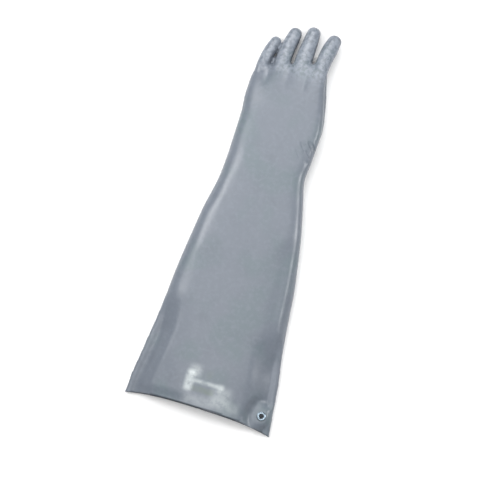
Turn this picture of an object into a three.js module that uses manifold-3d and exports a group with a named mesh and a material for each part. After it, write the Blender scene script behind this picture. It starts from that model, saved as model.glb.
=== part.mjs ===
// Shoulder-length dipped rubber glove for the left hand, lying palm down with its thumb folded under the palm.
// It is one hollow rubber wall from the fingertips to the open hem, with a metal eyelet for a tie cord set
// through the upper wall at the hem's thumb-side corner.
// Units are millimetres. +Y points at the fingertips, +X to the thumb side, +Z up off the surface it lies on.
// The origin is on that surface, under the middle of the glove.

import * as THREE from 'three';
import { mergeVertices } from 'three/addons/utils/BufferGeometryUtils.js';
import Module from 'manifold-3d';

const wasm = await Module();
wasm.setup();

// Driving dimensions
const WALL = 1.5;                // rubber wall, up and down
const SIDE_WALL = 2.0;           // rubber wall where it turns round a side fold
const SQUARE_UNDERSIDE = 4;      // superellipse power of the underside, which lies flat
const HEM = { y: -317.2, slant: -0.03, droop: 9.5, half: 123.5 };  // hem line, with its corners drooping
const HEM_UNDERLAP = 1.8;        // how far the lower wall's hem runs past the upper wall's
const CHANNEL_INSET = 28;        // side channels, measured in from the outline
const CHANNEL_WIDTH = 11;        // half width of a side channel
const HEM_STEPS = 12;            // straight pieces in each half of the hem line
const HEM_TRIM = { aside: 10, beyond: 80, under: 20, height: 80 };  // size of the block that trims the hem
const BODY_SIDES = 40;           // facets round the sleeve and palm
const BODY_STEP = 50;            // longest distance between two rings of the sleeve
const DIGIT_SIDES = 14;          // facets round a finger
const DIGIT_STEP = 18;           // longest distance between two rings of a finger
const TIP_ANGLES = [28, 54, 76];  // rings of a rounded fingertip, in degrees from its equator
const FRONT_ROWS = 2;            // last rows of the palm, which close its front

// Sleeve and palm, from beyond the hem to the palm's front. left and right are the outline seen from above,
// low and high the heights of the middle of the underside and top, fold the height of the side folds,
// tilt the rise towards the thumb side, slant the ring's lean along Y, power the superellipse power
// of the top, and channel the depth of the soft channels along the two sides.
const BODY_ROWS = [
  { y: -345, left: -125.3, right: 125.1, low: -0.6, high: 39.3, fold: 4.5, tilt: 0, slant: 0, power: 1.65, channel: 5 },
  { y: -316, left: -122.9, right: 121.8, low: -0.6, high: 39.5, fold: 5, tilt: 0, slant: 0, power: 1.7, channel: 5 },
  { y: -288, left: -120.1, right: 118.8, low: -0.6, high: 39.8, fold: 6.4, tilt: 0, slant: 0, power: 1.76, channel: 5 },
  { y: -250, left: -114, right: 115.2, low: -0.6, high: 40.3, fold: 8, tilt: 0, slant: 0, power: 1.85, channel: 4.5 },
  { y: -200, left: -107, right: 108, low: -0.6, high: 41.2, fold: 10, tilt: 0, slant: 0, power: 1.95, channel: 3.6 },
  { y: -150, left: -101.5, right: 103.3, low: -0.6, high: 42.6, fold: 12, tilt: 0, slant: 0, power: 2.1, channel: 2.2 },
  { y: -100, left: -96, right: 99.5, low: -0.6, high: 44, fold: 15, tilt: 0, slant: 0, power: 2.2, channel: 1.4 },
  { y: -50, left: -89, right: 93, low: -0.6, high: 46, fold: 18, tilt: 0, slant: 0, power: 2.35, channel: 1.2 },
  { y: 0, left: -81.5, right: 84, low: -0.6, high: 47.5, fold: 20, tilt: 0, slant: 0, power: 2.45, channel: 0.6 },
  { y: 50, left: -71, right: 73, low: -0.6, high: 48.5, fold: 21, tilt: 0, slant: 0, power: 2.5, channel: 0 },
  { y: 85, left: -67.3, right: 64.3, low: -0.6, high: 48.5, fold: 22, tilt: 0.01, slant: 0, power: 2.5, channel: 0 },
  { y: 110, left: -66.5, right: 66.7, low: 0.2, high: 48, fold: 23, tilt: 0.04, slant: 0, power: 2.55, channel: 0 },
  { y: 135, left: -66, right: 68.3, low: 2.2, high: 47.5, fold: 24, tilt: 0.07, slant: 0.03, power: 2.6, channel: 0 },
  { y: 155, left: -65.6, right: 69.6, low: 4.4, high: 47.3, fold: 24.5, tilt: 0.1, slant: 0.05, power: 2.7, channel: 0 },
  { y: 175, left: -65.4, right: 67.4, low: 7.2, high: 46.9, fold: 25.3, tilt: 0.14, slant: 0.09, power: 2.8, channel: 0 },
  { y: 200, left: -66.8, right: 61.3, low: 11, high: 45.5, fold: 26.5, tilt: 0.19, slant: 0.15, power: 3, channel: 0 },
  { y: 225, left: -66.2, right: 54.6, low: 13, high: 43.5, fold: 27, tilt: 0.2, slant: 0.22, power: 3.2, channel: 0 },
  { y: 245, left: -65, right: 52.4, low: 15.5, high: 41, fold: 28, tilt: 0.2, slant: 0.26, power: 3.2, channel: 0 },
  { y: 254, left: -62.5, right: 50.6, low: 18, high: 38.6, fold: 28, tilt: 0.2, slant: 0.26, power: 3.2, channel: 0 },
  { y: 259, left: -58, right: 47, low: 21, high: 35.5, fold: 28, tilt: 0.2, slant: 0.26, power: 3.2, channel: 0 },
  { y: 261, left: -52, right: 42, low: 24.5, high: 31.8, fold: 28, tilt: 0.2, slant: 0.26, power: 3.2, channel: 0 },
];

// Digits, from a root inside the palm to the middle of the rounded tip. wide and tall are half widths.
const DIGITS = {
  little: [
    { x: -53, y: 222, z: 17.5, wide: 7.5, tall: 8 },
    { x: -53.4, y: 240, z: 17.8, wide: 9.4, tall: 10.6 },
    { x: -51.6, y: 257, z: 17, wide: 9.8, tall: 10.4 },
    { x: -48.4, y: 271, z: 15.6, wide: 9.9, tall: 10 },
    { x: -44.6, y: 283, z: 13.6, wide: 9.6, tall: 9.6 },
    { x: -42.4, y: 289.4, z: 12.4, wide: 9, tall: 9 },
  ],
  ring: [
    { x: -22.5, y: 232, z: 24.8, wide: 9, tall: 10 },
    { x: -22.4, y: 250, z: 24.6, wide: 12.2, tall: 12 },
    { x: -22, y: 266, z: 23, wide: 12.6, tall: 11.8 },
    { x: -20.4, y: 283, z: 20, wide: 12.1, tall: 11.3 },
    { x: -17.4, y: 299, z: 17, wide: 11.6, tall: 10.9 },
    { x: -15.2, y: 309.6, z: 14.8, wide: 10.8, tall: 10.3 },
  ],
  middle: [
    { x: 8.5, y: 236, z: 31, wide: 10, tall: 10.5 },
    { x: 9, y: 254, z: 30.6, wide: 13.6, tall: 12.4 },
    { x: 9.6, y: 271, z: 28.4, wide: 14.2, tall: 12.2 },
    { x: 10.8, y: 287, z: 25.4, wide: 13.6, tall: 11.7 },
    { x: 12.4, y: 304, z: 21.8, wide: 12.4, tall: 11.2 },
    { x: 13.5, y: 317.6, z: 18.6, wide: 11.3, tall: 10.6 },
  ],
  index: [
    { x: 39, y: 236, z: 36.4, wide: 8.5, tall: 9.5 },
    { x: 40, y: 254, z: 36.2, wide: 11.8, tall: 12 },
    { x: 41, y: 269, z: 34.8, wide: 12.3, tall: 11.9 },
    { x: 43, y: 285, z: 32.2, wide: 12.7, tall: 11.5 },
    { x: 46.2, y: 301, z: 28.8, wide: 12.8, tall: 11 },
    { x: 49.2, y: 313.4, z: 25.6, wide: 11.4, tall: 10.4 },
  ],
  thumb: [
    { x: 46, y: 134, z: 19, wide: 12, tall: 10 },
    { x: 50.5, y: 156, z: 13.2, wide: 19.4, tall: 13.8 },
    { x: 52.2, y: 178, z: 11.6, wide: 18, tall: 12.2 },
    { x: 50.4, y: 200, z: 10.6, wide: 16.6, tall: 11.2 },
    { x: 47.2, y: 220, z: 10.2, wide: 15.2, tall: 10.8 },
    { x: 43.2, y: 242, z: 10, wide: 13.7, tall: 10.6 },
    { x: 40.4, y: 258, z: 9.9, wide: 12.9, tall: 10.4 },
    { x: 38.9, y: 267.6, z: 9.6, wide: 12, tall: 9.9 },
  ],
};

// Eyelet through the upper wall, with its axis upright
const EYELET = { x: 101.5, y: -301.5, z: 17.4 };  // middle of the reinforced pad
const STIFF_RADIUS = 12;         // round the eyelet the wall lies level this far out
const LIMP_RADIUS = 34;          // and is back on the sleeve's own curve this far out
const LEVEL_FROM = 0.05;         // sine of the section angle where the wall starts to turn level
const LEVEL_FULL = 0.45;         // and where it lies fully level
const PAD_RADIUS = 10.5;
const PAD_THICKNESS = 2.6;
const PAD_BEVEL = 1;
const PAD_HOLE_RADIUS = 4.6;
const EYELET_HOLE_RADIUS = 3.4;
const EYELET_BARREL_RADIUS = 4.1;
const EYELET_FLANGE_RADIUS = 7.5;
const EYELET_FLANGE_THICKNESS = 1.2;
const EYELET_RIM_HEIGHT = 0.4;   // upright edge of the flange, under its slope
const EYELET_RIM_SLOPE = 1;      // width of that slope
const EYELET_LEAD_IN = 0.5;      // height of the slope into the hole
const EYELET_FLARE_RADIUS = 5.8;
const EYELET_FLARE_THICKNESS = 0.5;
const WASHER_RADIUS = 7;
const WASHER_THICKNESS = 0.5;
const GAP = 0.35;                // clear space between the metal and the rubber
const ROUND_SIDES = 28;

const rubber = new THREE.MeshStandardMaterial({ color: 0x99a1ab, roughness: 0.55, metalness: 0 });
const nickel = new THREE.MeshStandardMaterial({ color: 0xb4c3cc, roughness: 0.3, metalness: 1 });

/** Value of one column at a station between two rows, on a smooth curve through all of them. */
function columnAt(rows, key, y) {
  const last = rows.length - 1;
  const i = Math.min(Math.max(rows.findIndex((row) => row.y > y) - 1, 0), last - 1);
  const from = y >= rows[last].y ? last - 1 : i;
  const slope = (k) => {
    const before = rows[Math.max(k - 1, 0)];
    const after = rows[Math.min(k + 1, last)];
    return (after[key] - before[key]) / (after.y - before.y);
  };
  const a = rows[from];
  const b = rows[from + 1];
  const span = b.y - a.y;
  const t = (y - a.y) / span;
  return (
    (2 * t ** 3 - 3 * t ** 2 + 1) * a[key] + (t ** 3 - 2 * t ** 2 + t) * span * slope(from) +
    (3 * t ** 2 - 2 * t ** 3) * b[key] + (t ** 3 - t ** 2) * span * slope(from + 1)
  );
}

/** Rows of a table with smooth rows added between them, no further apart than the step. */
function refine(rows, step) {
  const keys = Object.keys(rows[0]).filter((key) => key !== 'y');
  const fine = [];
  for (let i = 0; i < rows.length - 1; i += 1) {
    const pieces = Math.ceil((rows[i + 1].y - rows[i].y) / step);
    for (let k = 0; k < pieces; k += 1) {
      const y = rows[i].y + ((rows[i + 1].y - rows[i].y) * k) / pieces;
      fine.push(Object.fromEntries([['y', y], ...keys.map((key) => [key, columnAt(rows, key, y)])]));
    }
  }
  return [...fine, rows[rows.length - 1]];
}

/** Closed solid through sections that run from -Y to +Y. point(row, angle) is a place on a row's section. */
function loft(rows, sides, point, middle) {
  const geometry = new THREE.CylinderGeometry(1, 1, rows.length - 1, sides, rows.length - 1);
  const place = geometry.attributes.position;
  for (let i = 0; i < place.count; i += 1) {
    const row = rows[Math.round(place.getY(i) + (rows.length - 1) / 2)];
    const onAxis = Math.hypot(place.getX(i), place.getZ(i)) < 0.5;
    const at = onAxis ? middle(row) : point(row, Math.atan2(place.getZ(i), place.getX(i)));
    place.setXYZ(i, at.x, at.y, at.z);
  }
  return solid(geometry);
}

/** The manifold solid of a closed geometry. */
function solid(geometry) {
  geometry.deleteAttribute('normal');
  geometry.deleteAttribute('uv');
  const merged = mergeVertices(geometry);
  return new wasm.Manifold(new wasm.Mesh({
    numProp: 3,
    vertProperties: new Float32Array(merged.attributes.position.array),
    triVerts: new Uint32Array(merged.index.array),
  }));
}

/** A named mesh of a manifold solid. */
function part(name, body, material) {
  const { vertProperties, triVerts } = body.getMesh();
  const geometry = new THREE.BufferGeometry();
  geometry.setAttribute('position', new THREE.BufferAttribute(vertProperties, 3));
  geometry.setIndex(new THREE.BufferAttribute(triVerts, 1));
  geometry.computeVertexNormals();
  const mesh = new THREE.Mesh(geometry, material);
  mesh.name = name;
  return mesh;
}

/** A point of a sleeve or palm section: a superellipse with a flat underside, side channels and a tilt. */
function bodyPoint(row, angle) {
  const c = Math.cos(angle);
  const s = Math.sin(angle);
  const power = s >= 0 ? row.power : SQUARE_UNDERSIDE;
  const half = (row.right - row.left) / 2;
  const centre = (row.right + row.left) / 2;
  const across = Math.sign(c) * Math.abs(c) ** (2 / power);
  const rise = Math.abs(s) ** (2 / power);
  const x = centre + half * across;
  const y = row.y + row.slant * (x - centre);
  const lean = row.tilt * (x - centre);
  if (s < 0) return { x, y, z: row.fold + (row.low - row.fold) * rise + lean };
  const inset = (row.edge - Math.abs(x - centre) - CHANNEL_INSET) / CHANNEL_WIDTH;
  const z = row.fold + (row.high - row.fold) * rise - row.channel * Math.exp(-inset * inset) + lean;
  const limp = THREE.MathUtils.smoothstep(Math.hypot(x - EYELET.x, y - EYELET.y), STIFF_RADIUS, LIMP_RADIUS);
  const level = (1 - limp) * THREE.MathUtils.smoothstep(s, LEVEL_FROM, LEVEL_FULL);
  return { x, y, z: z + level * (row.seat - z) };
}

const bodyMiddle = (row) => ({ x: (row.left + row.right) / 2, y: row.y, z: (row.low + row.high) / 2 });

/** Rows of the sleeve and palm, shrunk by a wall. edge and seat keep the outer form's channels and level patch. */
function bodyRows(wall, sideWall) {
  const front = BODY_ROWS.at(-1 - FRONT_ROWS).y;
  return refine(BODY_ROWS, BODY_STEP).map((row) => ({
    ...row,
    y: row.y > front ? row.y - wall : row.y,
    left: row.left + sideWall,
    right: row.right - sideWall,
    low: row.low + wall,
    high: row.high - wall,
    edge: (row.right - row.left) / 2,
    seat: EYELET.z + WALL / 2 - wall,
  }));
}

/** Rings of a digit, square to its path, with the rounded tip added, shrunk by a wall. */
function digitRows(table, wall) {
  const path = refine(table, DIGIT_STEP).map((row) => ({
    centre: new THREE.Vector3(row.x, row.y, row.z),
    wide: row.wide - wall,
    tall: row.tall - wall,
  }));
  const curve = new THREE.CatmullRomCurve3(path.map((row) => row.centre));
  const tangents = path.map((row, i) => curve.getTangent(i / (path.length - 1)));
  const end = path.at(-1);
  const ahead = tangents.at(-1);
  const rings = path.map((row, i) => ({ ...row, ahead: tangents[i] }));
  for (const degrees of TIP_ANGLES) {
    const angle = THREE.MathUtils.degToRad(degrees);
    rings.push({
      centre: end.centre.clone().addScaledVector(ahead, Math.sin(angle) * end.wide),
      wide: end.wide * Math.cos(angle),
      tall: end.tall * Math.cos(angle),
      ahead,
    });
  }
  return rings;
}

/** A point of a digit's elliptical section. */
function digitPoint(ring, angle) {
  const side = new THREE.Vector3().crossVectors(ring.ahead, new THREE.Vector3(0, 0, 1)).normalize();
  const up = new THREE.Vector3().crossVectors(side, ring.ahead);
  return ring.centre.clone()
    .addScaledVector(side, ring.wide * Math.cos(angle))
    .addScaledVector(up, ring.tall * Math.sin(angle));
}

/** Everything under a level, to trim a solid flat where it rests. */
function below(level) {
  const size = 8 * HEM.half;
  const block = new THREE.BoxGeometry(size, size, size);
  block.translate(0, 0, level - size / 2);
  return solid(block);
}

/** Everything beyond the hem line, leaning so that the lower wall is cut a little further out. */
function beyondHem() {
  const reach = HEM.half + HEM_TRIM.aside;
  const far = HEM.y - HEM_TRIM.beyond;
  const outline = new THREE.Shape([new THREE.Vector2(-reach, far), new THREE.Vector2(reach, far)]);
  for (let i = HEM_STEPS; i >= -HEM_STEPS; i -= 1) {
    const x = (reach * i) / HEM_STEPS;
    outline.lineTo(x, HEM.y + HEM.slant * x - HEM.droop * Math.abs(x / HEM.half) ** 3);
  }
  const block = new THREE.ExtrudeGeometry(outline, { depth: HEM_TRIM.height, bevelEnabled: false });
  block.translate(0, 0, -HEM_TRIM.under);
  const place = block.attributes.position;
  for (let i = 0; i < place.count; i += 1) {
    place.setY(i, place.getY(i) - HEM_UNDERLAP * (1 - place.getZ(i) / BODY_ROWS[0].high));
  }
  return solid(block);
}

/** Sleeve, palm and digits in one solid, shrunk by a wall and cut flat one wall above the surface. */
function form(wall, sideWall) {
  let body = loft(bodyRows(wall, sideWall), BODY_SIDES, bodyPoint, bodyMiddle);
  for (const table of Object.values(DIGITS)) {
    body = body.add(loft(digitRows(table, wall), DIGIT_SIDES, digitPoint, (ring) => ring.centre));
  }
  return body.subtract(below(wall));
}

/** A solid of revolution about the eyelet's upright axis, from [radius, height] pairs above the pad's middle. */
function turned(profile) {
  const outline = [...profile, profile[0]].map(([radius, height]) => new THREE.Vector2(radius, height));
  const geometry = new THREE.LatheGeometry(outline, ROUND_SIDES);
  geometry.rotateX(Math.PI / 2);
  geometry.translate(EYELET.x, EYELET.y, EYELET.z);
  return solid(geometry);
}

/** Upright disc on the eyelet's axis between two heights above the pad's middle. */
function disc(radius, bottom, top) {
  return turned([[0, bottom], [radius, bottom], [radius, top], [0, top]]);
}

/** The reinforced pad that carries the eyelet. */
function pad() {
  const half = PAD_THICKNESS / 2;
  return turned([
    [0, -half], [PAD_RADIUS - PAD_BEVEL, -half], [PAD_RADIUS, PAD_BEVEL - half],
    [PAD_RADIUS, half - PAD_BEVEL], [PAD_RADIUS - PAD_BEVEL, half], [0, half],
  ]);
}

/** Rubber cleared for the metal: the hole, and flat seats for the flange and washer. */
function padCuts() {
  const half = PAD_THICKNESS / 2;
  return disc(PAD_HOLE_RADIUS, -PAD_RADIUS, PAD_RADIUS)
    .add(disc(EYELET_FLANGE_RADIUS + GAP, half, PAD_RADIUS))
    .add(disc(WASHER_RADIUS + GAP, -PAD_RADIUS, -half));
}

/** One-piece rubber wall: hand, digits and sleeve. */
function gloveShell() {
  return form(0, 0).subtract(form(WALL, SIDE_WALL)).subtract(beyondHem()).add(pad()).subtract(padCuts());
}

/** Flange, barrel and the flare that is clinched over the washer. */
function eyelet() {
  const face = PAD_THICKNESS / 2 + GAP;
  const top = face + EYELET_FLANGE_THICKNESS;
  const clinch = -(face + WASHER_THICKNESS + GAP);
  const foot = clinch - EYELET_FLARE_THICKNESS;
  return turned([
    [EYELET_HOLE_RADIUS, foot], [EYELET_FLARE_RADIUS, foot], [EYELET_FLARE_RADIUS, clinch],
    [EYELET_BARREL_RADIUS, clinch], [EYELET_BARREL_RADIUS, face], [EYELET_FLANGE_RADIUS, face],
    [EYELET_FLANGE_RADIUS, face + EYELET_RIM_HEIGHT], [EYELET_FLANGE_RADIUS - EYELET_RIM_SLOPE, top],
    [EYELET_BARREL_RADIUS, top], [EYELET_HOLE_RADIUS, top - EYELET_LEAD_IN],
  ]);
}

/** Ring inside the sleeve that the eyelet is clinched over. */
function washer() {
  const top = -(PAD_THICKNESS / 2 + GAP);
  const bore = EYELET_BARREL_RADIUS + GAP;
  return turned([
    [bore, top - WASHER_THICKNESS], [WASHER_RADIUS, top - WASHER_THICKNESS], [WASHER_RADIUS, top], [bore, top],
  ]);
}

const glove = new THREE.Group();
glove.add(part('glove_shell', gloveShell(), rubber));
glove.add(part('eyelet', eyelet(), nickel));
glove.add(part('eyelet_washer', washer(), nickel));

const middle = new THREE.Box3().setFromObject(glove).getCenter(new THREE.Vector3());
for (const piece of glove.children) piece.geometry.translate(-middle.x, -middle.y, 0);

export default glove;
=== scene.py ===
"""Looks of a shoulder-length dipped rubber glove that lies palm down, seen from straight above.

The glove is one limp wall of blue-grey neoprene with a tie eyelet at the hem's thumb-side corner. Sizes are
in millimetres in the glove's own frame: +Y points at the fingertips, +X to the thumb side and +Z up. They
are turned to metres only where a mesh is finished.
"""

import logging
import math
from dataclasses import dataclass, field
from enum import Enum
from typing import Callable, Sequence

import bmesh
import bpy
from mathutils import Matrix, Vector, noise

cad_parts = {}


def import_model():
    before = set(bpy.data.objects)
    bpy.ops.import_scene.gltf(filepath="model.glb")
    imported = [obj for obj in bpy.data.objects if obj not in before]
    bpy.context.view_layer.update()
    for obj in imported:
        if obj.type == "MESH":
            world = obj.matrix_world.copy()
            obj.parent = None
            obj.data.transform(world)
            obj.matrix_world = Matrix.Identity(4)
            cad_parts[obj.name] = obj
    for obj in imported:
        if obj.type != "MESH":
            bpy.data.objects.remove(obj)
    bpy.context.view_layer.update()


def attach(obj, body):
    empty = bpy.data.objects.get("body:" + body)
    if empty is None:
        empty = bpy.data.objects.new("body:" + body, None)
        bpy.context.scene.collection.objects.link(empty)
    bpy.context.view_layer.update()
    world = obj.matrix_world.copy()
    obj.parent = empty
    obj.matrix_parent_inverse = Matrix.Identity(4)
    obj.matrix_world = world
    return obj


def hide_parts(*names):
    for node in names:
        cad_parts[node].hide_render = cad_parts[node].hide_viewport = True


log = logging.getLogger("glove")

Tree = bpy.types.NodeTree
Socket = bpy.types.NodeSocket
Piece = bpy.types.Object
Material = bpy.types.Material
Mesh = bmesh.types.BMesh
Pair = tuple[float, float]
Edges = tuple[float, float, float, float]

SMOOTH = {"interpolation_type": "SMOOTHSTEP"}
TIMES = {"operation": "MULTIPLY"}
COLOURS = {"data_type": "RGBA"}
MIX_FACTOR, MIX_FIRST, MIX_SECOND, MIX_COLOUR = 0, 6, 7, 2  # numbers of the mix node's sockets

MM = 0.001
ROOT = "root"
FRAME_SHIFT = Vector((-0.0085, 1.6, 0.0))  # from the tables' origin to the frame's, in mm


def linear(hex_colour: str) -> tuple[float, float, float, float]:
    """Turns an sRGB hex colour to the linear colour that a shader takes.

    Args:
        hex_colour: Six hex digits after a hash sign.

    Returns:
        Red, green, blue and alpha, with alpha 1.
    """
    channels = [int(hex_colour[i:i + 2], 16) / 255 for i in (1, 3, 5)]
    straight = [c / 12.92 if c <= 0.04045 else ((c + 0.055) / 1.055) ** 2.4 for c in channels]
    return (straight[0], straight[1], straight[2], 1.0)


def smoothstep(value: float, low: float, high: float) -> float:
    """Rises smoothly from 0 at low to 1 at high."""
    t = min(max((value - low) / (high - low), 0.0), 1.0)
    return t * t * (3 - 2 * t)


def plateau(value: float, edges: Edges) -> float:
    """Rises smoothly to 1 between the first two edges and falls back to 0 between the last two."""
    return smoothstep(value, *edges[:2]) * (1 - smoothstep(value, *edges[2:]))


def bump(distance: float, width: float) -> float:
    """Bell curve of height 1 that fades over width."""
    return math.exp(-((distance / width) ** 2))


def between(table: Sequence[Pair], at: float) -> float:
    """Reads a two-column table with straight lines between its rows.

    Args:
        table: Rows of position and value, positions rising.
        at: Position to read, held to the table's ends.

    Returns:
        The value there.
    """
    if at <= table[0][0]:
        return table[0][1]
    for (low, first), (high, second) in zip(table, table[1:]):
        if at <= high:
            return first + (second - first) * (at - low) / (high - low)
    return table[-1][1]


def add_node(
    tree: Tree,
    kind: str,
    settings: dict[str, object] | None = None,
    inputs: dict[str | int, object] | None = None,
) -> bpy.types.Node:
    """Adds a node, sets its properties, and sets or links its inputs.

    Args:
        tree: The node tree.
        kind: The node's type name.
        settings: Property values by name.
        inputs: Values, or output sockets to link, by input name or number.

    Returns:
        The new node.
    """
    node = tree.nodes.new(kind)
    for name, value in (settings or {}).items():
        setattr(node, name, value)
    for name, value in (inputs or {}).items():
        socket = node.inputs[name]
        if isinstance(value, Socket):
            tree.links.new(value, socket)
        else:
            socket.default_value = value
    return node


def new_material(name: str, inputs_of: Callable[[Tree, Socket], dict[str, object]]) -> Material:
    """Makes a material with one shader.

    Args:
        name: The material's name.
        inputs_of: Takes the node tree and the object coordinates, and gives the shader's inputs by name.

    Returns:
        The material.
    """
    material = bpy.data.materials.new(name)
    material.use_nodes = True
    tree = material.node_tree
    tree.nodes.clear()
    place = add_node(tree, "ShaderNodeTexCoord").outputs["Object"]
    shader = add_node(tree, "ShaderNodeBsdfPrincipled", None, inputs_of(tree, place))
    add_node(tree, "ShaderNodeOutputMaterial", None, {"Surface": shader.outputs["BSDF"]})
    return material


def finish_mesh(bm: Mesh, name: str, material: Material) -> Piece:
    """Turns a bmesh in the tables' millimetres to an object in the frame's metres.

    Args:
        bm: The mesh, freed here.
        name: Name of the object and its mesh.
        material: Its only material.

    Returns:
        The object, at the origin, in the scene.
    """
    bmesh.ops.translate(bm, verts=bm.verts, vec=FRAME_SHIFT)
    bmesh.ops.scale(bm, verts=bm.verts, vec=Vector((MM, MM, MM)))
    for face in bm.faces:
        face.smooth = True
    mesh = bpy.data.meshes.new(name)
    bm.to_mesh(mesh)
    bm.free()
    mesh.materials.append(material)
    piece = bpy.data.objects.new(name, mesh)
    bpy.context.scene.collection.objects.link(piece)
    return piece


def apply_modifiers(piece: Piece) -> None:
    """Bakes a piece's modifiers into its mesh and removes them.

    Args:
        piece: The piece to bake.
    """
    graph = bpy.context.evaluated_depsgraph_get()
    baked = bpy.data.meshes.new_from_object(piece.evaluated_get(graph))
    old = piece.data
    piece.modifiers.clear()
    piece.data = baked
    bpy.data.meshes.remove(old)
    baked.name = piece.name


class Side(Enum):
    """The glove's two sides, seen with the fingers up, and their places in a pair."""

    LITTLE = 0
    THUMB = 1


@dataclass(frozen=True)
class BodyStation:
    """One section of the sleeve or palm.

    left and right are the outline from above, low and high the middle of the underside and top, fold the
    height of the side folds, tilt the rise to the thumb side, slant the lean along Y and power the roundness
    of the top.
    """

    y: float
    left: float
    right: float
    low: float
    high: float
    fold: float
    tilt: float
    slant: float
    power: float


@dataclass(frozen=True)
class DigitStation:
    """One section of a digit: its middle and its half widths."""

    x: float
    y: float
    z: float
    wide: float
    tall: float


BODY = [
    BodyStation(*row)
    for row in (
        # y, left, right, low, high, fold, tilt, slant, power
        (-345, -125.3, 125.1, -0.6, 39.3, 4.5, 0, 0, 1.65),
        (-316, -122.9, 121.8, -0.6, 39.5, 5, 0, 0, 1.7),
        (-288, -120.1, 118.8, -0.6, 39.8, 6.4, 0, 0, 1.76),
        (-250, -114, 115.2, -0.6, 40.3, 8, 0, 0, 1.85),
        (-200, -107, 108, -0.6, 41.2, 10, 0, 0, 1.95),
        (-150, -101.5, 103.3, -0.6, 42.6, 12, 0, 0, 2.1),
        (-100, -96, 99.5, -0.6, 44, 15, 0, 0, 2.2),
        (-50, -89, 93, -0.6, 46, 18, 0, 0, 2.35),
        (0, -81.5, 84, -0.6, 47.5, 20, 0, 0, 2.45),
        (50, -71, 73, -0.6, 48.5, 21, 0, 0, 2.5),
        (85, -67.3, 64.3, -0.6, 48.5, 22, 0.01, 0, 2.5),
        (110, -66.5, 66.7, 0.2, 48, 23, 0.04, 0, 2.55),
        (135, -66, 68.3, 2.2, 47.5, 24, 0.07, 0.03, 2.6),
        (155, -65.6, 69.6, 4.4, 47.3, 24.5, 0.1, 0.05, 2.7),
        (175, -65.4, 67.4, 7.2, 46.9, 25.3, 0.14, 0.09, 2.8),
        (200, -66.8, 61.3, 11, 45.5, 26.5, 0.19, 0.15, 3),
        (225, -66.2, 54.6, 13, 43.5, 27, 0.2, 0.22, 3.2),
        (245, -65, 52.4, 15.5, 41, 28, 0.2, 0.26, 3.2),
        (254, -62.5, 50.6, 18, 38.6, 28, 0.2, 0.26, 3.2),
        (259, -58, 47, 21, 35.5, 28, 0.2, 0.26, 3.2),
        (261, -52, 42, 24.5, 31.8, 28, 0.2, 0.26, 3.2),
    )
]

DIGITS = {
    name: [DigitStation(*row) for row in rows]
    for name, rows in {
        # x, y, z, wide, tall
        "little": [
            (-53, 222, 17.5, 7.5, 8),
            (-53.4, 240, 17.8, 9.4, 10.6),
            (-51.6, 257, 17, 9.8, 10.4),
            (-48.4, 271, 15.6, 9.9, 10),
            (-44.6, 283, 13.6, 9.6, 9.6),
            (-42.4, 289.4, 12.4, 9, 9),
        ],
        "ring": [
            (-22.5, 232, 24.8, 9, 10),
            (-22.4, 250, 24.6, 12.2, 12),
            (-22, 266, 23, 12.6, 11.8),
            (-20.4, 283, 20, 12.1, 11.3),
            (-17.4, 299, 17, 11.6, 10.9),
            (-15.2, 309.6, 14.8, 10.8, 10.3),
        ],
        "middle": [
            (8.5, 236, 31, 10, 10.5),
            (9, 254, 30.6, 13.6, 12.4),
            (9.6, 271, 28.4, 14.2, 12.2),
            (10.8, 287, 25.4, 13.6, 11.7),
            (12.4, 304, 21.8, 12.4, 11.2),
            (13.5, 317.6, 18.6, 11.3, 10.6),
        ],
        "index": [
            (39, 236, 36.4, 8.5, 9.5),
            (40, 254, 36.2, 11.8, 12),
            (41, 269, 34.8, 12.3, 11.9),
            (43, 285, 32.2, 12.7, 11.5),
            (46.2, 301, 28.8, 12.8, 11),
            (49.2, 313.4, 25.6, 11.4, 10.4),
        ],
        "thumb": [
            (46, 134, 19, 12, 10),
            (50.5, 156, 13.2, 19.4, 13.8),
            (52.2, 178, 11.6, 18, 12.2),
            (50.4, 200, 10.6, 16.6, 11.2),
            (47.2, 220, 10.2, 15.2, 10.8),
            (43.2, 242, 10, 13.7, 10.6),
            (40.4, 258, 9.9, 12.9, 10.4),
            (38.9, 267.6, 9.6, 12, 9.9),
        ],
    }.items()
}

FOREARM_RIDGES = [
    # height, shift to the thumb side, width, ends along the forearm, and its line as rows of y and x
    (
        0.7,
        5,
        12,
        (-110, -60, 100, 140),
        (
            (-95, -85), (-75, -82), (-50, -78), (-25, -72), (0, -67),
            (25, -63), (50, -60), (75, -52), (100, -50), (125, -45),
        ),
    ),
    (1.6, -3, 8, (-190, -160, -60, 0), ((-175, 95), (-150, 90), (-120, 88), (-90, 87), (-60, 85), (0, 78))),
]
WRIST_CREASES = [
    # from x, from y, to x, to y, depth
    (45, 143, 58, 127, 1.0),
    (54, 148, 65, 134, 1.0),
    (49, 129, 60, 111, 0.8),
    (41, 132, 49, 121, 0.5),
]
SAG_WAVES = [
    # size along x, y and z, shift, height
    (62, 95, 60, 0, 1.3),
    (21, 30, 22, 7, 0.35),
]
WEB_DIPS = [
    # x, depth
    (-40, 2.0),
    (-8, 1.0),
    (21, 2.0),
]


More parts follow.
